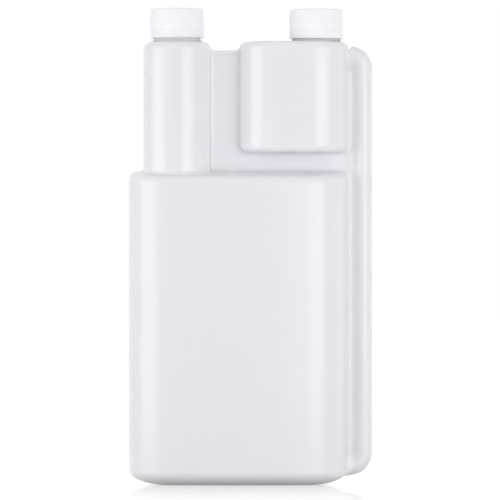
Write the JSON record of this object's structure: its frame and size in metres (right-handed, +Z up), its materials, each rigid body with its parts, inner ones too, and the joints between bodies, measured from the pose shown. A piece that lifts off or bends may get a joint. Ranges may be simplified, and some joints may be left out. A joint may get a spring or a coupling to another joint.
{
  "type": "dosing bottle",
  "caption": "Translucent blow-moulded dosing bottle: a flat reservoir with a filling column, a dosing chamber fed by a side tube, and white screw caps.",
  "frame": {"origin": "under the middle of the overall box, on the plane that the bottle stands on", "axes": "+X towards the transfer tube, +Y to the back, +Z up along the necks"},
  "size_m": [0.1368, 0.057, 0.2673],
  "materials": {
    "bottle_wall": "satin",
    "cap": "satin",
    "liner": "matte"
  },
  "bodies": {
    "bottle_body": {"bottle": "bottle_wall"},
    "reservoir_liner_body": {"reservoir_cap_liner": "liner"},
    "reservoir_cap_body": {"reservoir_cap": "cap"},
    "dosing_liner_body": {"dosing_cap_liner": "liner"},
    "dosing_cap_body": {"dosing_cap": "cap"}
  },
  "joints": [
    {"name": "reservoir_cap_rise", "type": "slide", "parent": "bottle_body", "child": "reservoir_liner_body", "axis": [0, 0, 1], "range_m": [0, 0.022]},
    {"name": "reservoir_cap_turn", "type": "hinge", "parent": "reservoir_liner_body", "child": "reservoir_cap_body", "pos_m": [-0.04115, 0, 0.2591], "axis": [0, 0, 1], "range_deg": [0, 1870]},
    {"name": "dosing_cap_rise", "type": "slide", "parent": "bottle_body", "child": "dosing_liner_body", "axis": [0, 0, 1], "range_m": [0, 0.022]},
    {"name": "dosing_cap_turn", "type": "hinge", "parent": "dosing_liner_body", "child": "dosing_cap_body", "pos_m": [0.03705, 0, 0.2586], "axis": [0, 0, 1], "range_deg": [0, 1870]}
  ],
  "couplings": [
    {"joint": "reservoir_cap_rise", "follows": "reservoir_cap_turn", "m_per_rad": 0.00067323},
    {"joint": "dosing_cap_rise", "follows": "dosing_cap_turn", "m_per_rad": 0.00067323}
  ]
}
